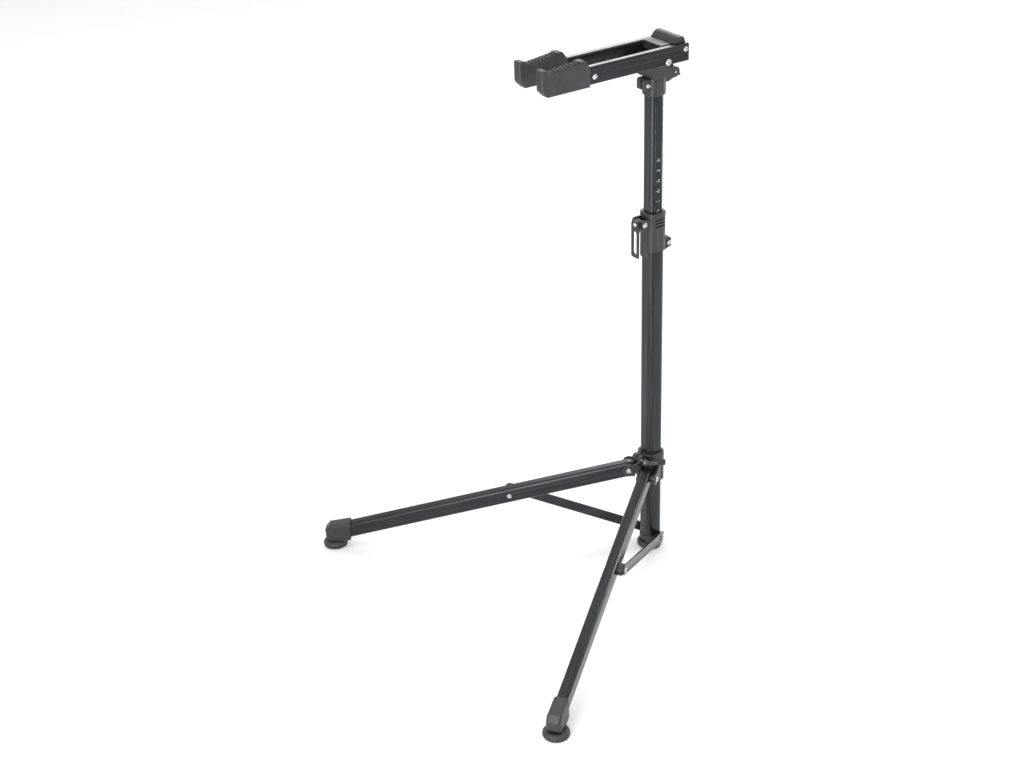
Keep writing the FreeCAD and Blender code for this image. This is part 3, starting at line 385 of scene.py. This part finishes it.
# (y, z) in millimetres along the top: the raised tip, the step down, the ribbed climb to the
# hump, and the fall to the mouth
PAD_TOP = [(-347, 1339.0), (-344, 1339.5), (-335, 1339.5), (-331, 1338.4), (-326.5, 1334.9),
           (-322.5, 1332.8), (-319, 1332.4), (-312, 1332.9), (-290, 1335.2), (-262, 1338.2),
           (-254, 1339.2), (-248, 1340.3), (-243, 1341.0), (-238, 1341.15), (-233.5, 1340.9),
           (-230, 1339.4), (-226, 1334.6), (-222.5, 1329.0), (-219.8, 1326.3), (-218.5, 1326.0)]
PAD_BOTTOM = 1278.5
PAD_CORNER = 3.0
PAD_STATIONS = 309                   # sections along a pad
TOP_SPANS = 12                       # spans across the top edge of a section
TIP_SIDE_RADIUS, TIP_TOP_RADIUS, TAIL_RADIUS = 6.5, 3.2, 1.6
TIP_CHAMFER = 16.0                   # 45 degree slope under the tip
TIP_BELOW = 0.5                      # share of the top's rounding that the bottom has
RIB_START, RIB_END, RIBS, RIB_DEPTH = -321.0, -247.0, 8, 3.4
RIB_CREST = 1.05                     # over 1, it leaves the crests flat
RIB_POWER = 1.1                      # over 1, it widens the grooves
GROOVE_FROM = 0.6                    # share of the top band below which nothing is grooved
CROWN = 1.6                          # how far the ribbed seat falls to its edges
CROWN_LEAD, CROWN_FADE = 4.0, 6.0    # where the crown starts outside the ribs, and its fade
TOP_BAND = 9.0                       # depth below the top that ribs and crown act on
SOCKET_FIT, SOCKET_CORNER = 0.05, 4.4


def pad_section(low_x, high_x, low_z, high_z, radius):
    """A rounded rectangle whose top edge carries extra points."""
    ring = section(low_x, high_x, low_z, high_z, radius)
    corner = len(ring) // 4
    start, end = ring[2 * corner - 1], ring[2 * corner]
    extra = [(start[0] + (end[0] - start[0]) * k / TOP_SPANS, start[1])
             for k in range(1, TOP_SPANS)]
    return ring[:2 * corner] + extra + ring[2 * corner:]


def round_off(distance, radius):
    """How far a rounded end pulls a side in at a distance from that end."""
    return radius - math.sqrt(max(0.0, radius ** 2 - (radius - min(distance, radius)) ** 2))


def rib_groove(y):
    """How deep the seat is cut at y: nothing on a rib's crest, RIB_DEPTH mid-groove."""
    if not RIB_START < y < RIB_END:
        return 0.0
    swell = abs(math.sin(math.pi * (y - RIB_START) / (RIB_END - RIB_START) * RIBS))
    return RIB_DEPTH * (1 - min(1.0, swell * RIB_CREST) ** RIB_POWER)


def pad_rings(side):
    """Sections of one pad from its tip to its mouth, then back in to the end of its arm."""
    low_arm, high_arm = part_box("arm_right" if side > 0 else "arm_left")
    low_pad, high_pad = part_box("arm_pad_right" if side > 0 else "arm_pad_left")
    x0, x1 = low_pad.x / MM, high_pad.x / MM
    top = smooth_points(PAD_TOP, PAD_STATIONS)
    front, rear = top[0][0], top[-1][0]
    rings = []
    for y, z in top:
        inside, tail = y - front, rear - y
        pinch, drop = round_off(inside, TIP_SIDE_RADIUS), round_off(inside, TIP_TOP_RADIUS)
        tuck = round_off(tail, TAIL_RADIUS)
        bottom = PAD_BOTTOM + max(0.0, TIP_CHAMFER - inside) + drop * TIP_BELOW + tuck
        crowned = min(1.0, max(0.0, (y - RIB_START + CROWN_LEAD) / CROWN_FADE),
                      max(0.0, (RIB_END + CROWN_LEAD - y) / CROWN_FADE))
        groove = rib_groove(y)
        ring = []
        for x, level in pad_section(x0 + pinch + tuck, x1 - pinch - tuck, bottom,
                                    z - drop - tuck, PAD_CORNER):
            off = abs(x - (x0 + x1) / 2) / ((x1 - x0) / 2)
            near_top = max(0.0, min(1.0, (level - (z - drop - tuck - TOP_BAND)) / TOP_BAND))
            grooved = groove * max(0.0, (near_top - GROOVE_FROM) / (1 - GROOVE_FROM))
            ring.append((x, y, level - grooved - CROWN * crowned * off ** 2 * near_top))
        rings.append(ring)
    # the mouth, and the far end of the socket that the arm fills
    socket = pad_section(low_arm.x / MM - SOCKET_FIT, high_arm.x / MM + SOCKET_FIT,
                         low_arm.z / MM - SOCKET_FIT, high_arm.z / MM + SOCKET_FIT, SOCKET_CORNER)
    for y in (rear, low_arm.y / MM):
        rings.append([(x, y, z) for x, z in socket])
    return rings


for side, name in ((-1, "left"), (1, "right")):
    pad = loft(f"pad_{name}", pad_rings(side))
    sharpen(pad, 50)
    add(pad, "arms", "rubber", "rubber", f"arm_pad_{name}")


# ------------------------------------------------------------------ feet and scale marks

# (radius, z) in millimetres up a foot's side: the tread's rounded edge, a groove, the fluted
# roll, a second groove, and the shoulder
FOOT_SIDE = [(25.5, 0.0), (27.5, 0.25), (29.4, 1.4), (30.2, 2.9), (30.2, 3.5), (29.3, 3.9),
             (29.3, 4.5), (30.5, 4.9), (31.0, 6.0), (31.05, 7.4), (30.8, 8.8), (29.9, 9.2),
             (29.9, 9.8),
             (30.3, 10.2), (29.8, 11.6), (28.6, 13.2), (27.2, 14.3), (25.0, 15.6), (22.5, 16.6),
             (20.0, 16.95)]

FOOT_SEGMENTS = 192
FLUTES, FLUTE_DEPTH, FLUTE_LOW, FLUTE_HIGH = 24, 0.9, 4.6, 9.0
FLUTE_POWER = 3                      # narrows each flute


def foot_rings(centre_x, centre_y):
    """Rings of a foot about its upright axis, with shallow flutes between FLUTE_LOW and _HIGH."""
    rings = []
    for radius, z in FOOT_SIDE:
        ring = []
        for k in range(FOOT_SEGMENTS):
            angle = 2 * math.pi * k / FOOT_SEGMENTS
            groove = 0.0
            if FLUTE_LOW < z < FLUTE_HIGH:
                groove = FLUTE_DEPTH * max(0.0, math.cos(FLUTES * angle)) ** FLUTE_POWER
            ring.append((centre_x + (radius - groove) * math.cos(angle),
                         centre_y + (radius - groove) * math.sin(angle), z))
        rings.append(ring)
    return rings


for name in ("left", "right"):
    low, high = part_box(f"foot_pad_{name}")
    foot = loft(f"foot_{name}",
                foot_rings((low.x + high.x) / 2 / MM, (low.y + high.y) / 2 / MM))
    sharpen(foot, 40)
    add(foot, f"leg_{name}", "rubber", "rubber", f"foot_pad_{name}")


MARK_LOW, MARK_STEP = 923.0, 25.2    # height of the numeral 0, and the step between numerals
# Each numeral's bars, named from the top round clockwise, with g across the middle.
NUMERALS = ["abcdef", "bc", "abged", "abgcd", "fgbc", "afgcd"]
# Each bar's place, in halves of a numeral's width and quarters of its height.
BARS = {"a": (0, 2), "b": (1, 1), "c": (1, -1), "d": (0, -2), "e": (-1, -1), "f": (-1, 1),
        "g": (0, 0)}
LEVEL_BARS = "adg"
HALF_WIDE, HALF_TALL, STROKE = 2.0, 3.2, 0.62
LEVEL_BAR, UPRIGHT_BAR = 0.78, 0.4   # half a bar's length over HALF_WIDE and over HALF_TALL
BAR_ROUNDING, BAR_CORNER_STEPS = 0.9, 3
INK_SUNK, INK_PROUD = 0.02, 0.05     # how far a mark goes into the face and stands off it
NUMERAL_Y, TICK_Y = 1.2, -4.4
TICK_HALF_LONG, TICK_HALF_TALL = 1.8, 0.5


def raised_bar(build, face, y, z, half_y, half_z):
    """A thin printed bar with round ends on the face at x = face."""
    outline = section(y - half_y, y + half_y, z - half_z, z + half_z,
                      min(half_y, half_z) * BAR_ROUNDING, BAR_CORNER_STEPS)
    inner = [build.verts.new(Vector((face - INK_SUNK, u, v)) * MM) for u, v in outline]
    outer = [build.verts.new(Vector((face + INK_PROUD, u, v)) * MM) for u, v in outline]
    for i in range(len(outline)):
        j = (i + 1) % len(outline)
        build.faces.new((inner[i], inner[j], outer[j], outer[i]))
    build.faces.new(outer)
    build.faces.new(list(reversed(inner)))


def scale_marks():
    """The printed height scale on the post's right face: a numeral and a tick at each step."""
    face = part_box("post_tube")[1].x / MM
    mesh = bpy.data.meshes.new("scale_marks")
    build = bmesh.new()
    for k, bars in enumerate(NUMERALS):
        z = MARK_LOW + MARK_STEP * k
        for name in bars:
            sideways, upwards = BARS[name]
            half_y, half_z = STROKE, HALF_TALL * UPRIGHT_BAR
            if name in LEVEL_BARS:
                half_y, half_z = HALF_WIDE * LEVEL_BAR, STROKE
            raised_bar(build, face, NUMERAL_Y + sideways * HALF_WIDE, z + upwards * HALF_TALL / 2,
                       half_y, half_z)
        raised_bar(build, face, TICK_Y, z, TICK_HALF_LONG, TICK_HALF_TALL)
    bmesh.ops.recalc_face_normals(build, faces=build.faces[:])
    build.to_mesh(mesh)
    build.free()
    obj = bpy.data.objects.new("scale_marks", mesh)
    scene.collection.objects.link(obj)
    return obj


add(scale_marks(), "post", "marking", "plastic")


# ------------------------------------------------------------------ studio

def softbox(name, place, target, width, height, power):
    """A rectangular studio light, in metres and watts, that the camera doesn't see."""
    data = bpy.data.lights.new(name, "AREA")
    data.shape = "RECTANGLE"
    data.size, data.size_y = width, height
    data.energy = power
    light = bpy.data.objects.new(name, data)
    light.visible_camera = False
    scene.collection.objects.link(light)
    light.location = place
    light.rotation_mode = "QUATERNION"
    light.rotation_quaternion = (Vector(target) - Vector(place)).to_track_quat("-Z", "Y")


# The camera looks along +Y turned by the azimuth and down by the pitch, then rolls.
AZIMUTH, PITCH, ROLL = math.radians(56.205), math.radians(27.70), math.radians(-1.789)
CAMERA_PLACE = (3.1192, -2.49885, 2.56349)
FOCAL_LENGTH, SENSOR_WIDTH = 64.55, 36
right = Vector((math.cos(AZIMUTH), math.sin(AZIMUTH), 0))
ahead = Vector((-math.sin(AZIMUTH) * math.cos(PITCH), math.cos(AZIMUTH) * math.cos(PITCH),
                -math.sin(PITCH)))
upward = right.cross(ahead)
camera_right = right * math.cos(ROLL) + upward * math.sin(ROLL)
camera_up = upward * math.cos(ROLL) - right * math.sin(ROLL)
lens = bpy.data.cameras.new("camera")
lens.sensor_width = SENSOR_WIDTH
lens.lens = FOCAL_LENGTH
lens.clip_end = 200
camera = bpy.data.objects.new("camera", lens)
scene.collection.objects.link(camera)
camera.matrix_world = Matrix.Translation(CAMERA_PLACE) @ Matrix(
    (camera_right, camera_up, -ahead)).transposed().to_4x4()
scene.camera = camera

FLOOR_RADIUS, FLOOR_SEGMENTS = 40, 96
FLOOR_GAP = 0.0002                   # keeps the floor off the feet's lowest faces
floor_mesh = bpy.data.meshes.new("floor")
build = bmesh.new()
bmesh.ops.create_circle(build, cap_ends=True, radius=FLOOR_RADIUS, segments=FLOOR_SEGMENTS)
build.to_mesh(floor_mesh)
build.free()
floor = bpy.data.objects.new("floor", floor_mesh)
scene.collection.objects.link(floor)
floor.location.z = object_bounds()[0].z - FLOOR_GAP
g = Graph("pale_floor")
tone = g.mix(g.ramp(g.noise(g.place(), 1.5), 0.3, 0.7), linear(236, 236, 237),
             linear(240, 240, 241))
flat_normal = g.node("ShaderNodeNewGeometry").outputs["Normal"]
floor_mesh.materials.append(g.finish(tone, g.ramp(g.noise(g.place(), 3.0), 0.3, 0.7, 0.85, 0.95),
                                     flat_normal, specular=0.1))

scene.world = bpy.data.worlds.new("studio")
scene.world.use_nodes = True
sky = scene.world.node_tree.nodes["Background"]
sky.inputs["Color"].default_value = linear(248, 249, 250)
sky.inputs["Strength"].default_value = 0.78
softbox("overhead", (-1.0, 1.5, 7.0), (-1.0, 1.5, 0), 14.0, 14.0, 420)
softbox("behind", (-3.4, 2.3, 3.2), (0, 0, 0.9), 3.0, 1.4, 70)
softbox("front", (1.0, -1.73, 0.95), (0, 0, 0.95), 1.0, 1.85, 30)
softbox("right_strip", (0.7, 1.9, 0.95), (0, 0, 0.95), 0.15, 1.8, 16)
scene.view_settings.view_transform = "Standard"
